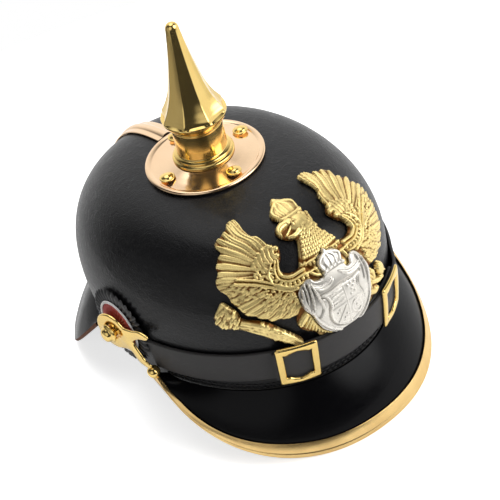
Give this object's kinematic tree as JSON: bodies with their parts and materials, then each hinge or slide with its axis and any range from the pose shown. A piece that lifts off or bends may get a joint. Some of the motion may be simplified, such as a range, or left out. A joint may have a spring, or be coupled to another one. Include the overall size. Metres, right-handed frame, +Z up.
{
  "type": "spiked helmet",
  "caption": "Leather parade helmet with front and rear peaks, brass edging, spine and fluted spike, an eagle badge with a silver shield, side cockades and a buckled chin strap.",
  "frame": {"origin": "on the floor under the spike's axis, midway between the tips of the front and rear peaks", "axes": "+Z up along the spike, the front peak and badge face -Y, +X is the side towards the wearer's left; pieces named left lie at -X"},
  "size_m": [0.1908, 0.2473, 0.226],
  "materials": {
    "skull_leather": "lacquered leather with a fine wrinkled grain",
    "peak_leather": "smooth patent lacquer",
    "strap_leather": "matt, lightly worn",
    "gold_brass": "polished, yellow gold",
    "rose_brass": "polished, rosy",
    "silver_plate": "polished silver plate",
    "black_cockade": "satin black",
    "white_cockade": "white lacquer",
    "red_cockade": "red lacquer"
  },
  "bodies": {
    "root": {"skull": "skull_leather", "front_peak": "peak_leather", "rear_peak": "peak_leather", "peak_trim": "gold_brass", "trim_rivet_left": "gold_brass", "trim_rivet_right": "gold_brass", "rear_spine": "rose_brass", "spike_base": "rose_brass", "base_stud_front": "gold_brass", "base_stud_right": "gold_brass", "base_stud_back": "gold_brass", "base_stud_left": "gold_brass", "spike_neck": "gold_brass", "spike_point": "gold_brass", "eagle": "gold_brass", "shield": "silver_plate", "strap_under": "strap_leather", "strap_over": "strap_leather", "buckle_left": "gold_brass", "buckle_right": "gold_brass", "cockade_left": "black_cockade", "cockade_right": "black_cockade", "cockade_white_left": "white_cockade", "cockade_white_right": "white_cockade", "cockade_red_left": "red_cockade", "cockade_red_right": "red_cockade", "strap_fork_left": "gold_brass", "strap_fork_right": "gold_brass", "side_post_left": "gold_brass", "side_post_right": "gold_brass"}
  },
  "joints": []
}
